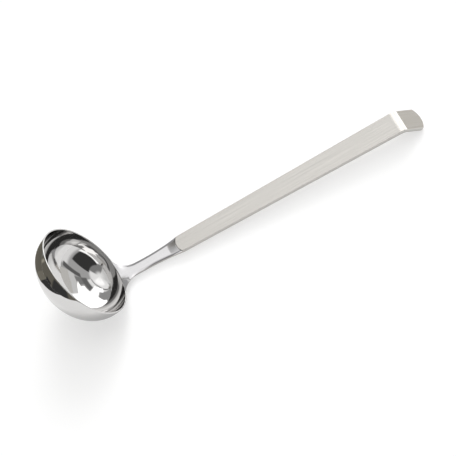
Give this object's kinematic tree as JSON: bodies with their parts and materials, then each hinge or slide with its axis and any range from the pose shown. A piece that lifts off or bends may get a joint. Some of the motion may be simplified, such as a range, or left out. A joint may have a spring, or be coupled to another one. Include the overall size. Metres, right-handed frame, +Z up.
{
  "type": "ladle",
  "caption": "Stainless steel kitchen ladle: a round polished bowl on a flared neck, with a flat brushed grip whose end is bent into a hanging hook.",
  "frame": {"origin": "on the table that the ladle lies on, under the middle of its box", "axes": "+Z up from the table; +X along the handle from the bowl to the hook; +Y across it, square to the ladle's plane of symmetry"},
  "size_m": [0.2964, 0.075, 0.0688],
  "materials": {
    "bowl_polished": "mirror-polished stainless steel",
    "neck_polished": "buffed stainless steel, ground flush at the welds",
    "grip_brushed": "stainless steel brushed along its length"
  },
  "bodies": {
    "root": {"bowl": "bowl_polished", "foot_weld": "neck_polished", "neck": "neck_polished", "shoulder_weld": "neck_polished", "grip": "grip_brushed"}
  },
  "joints": []
}
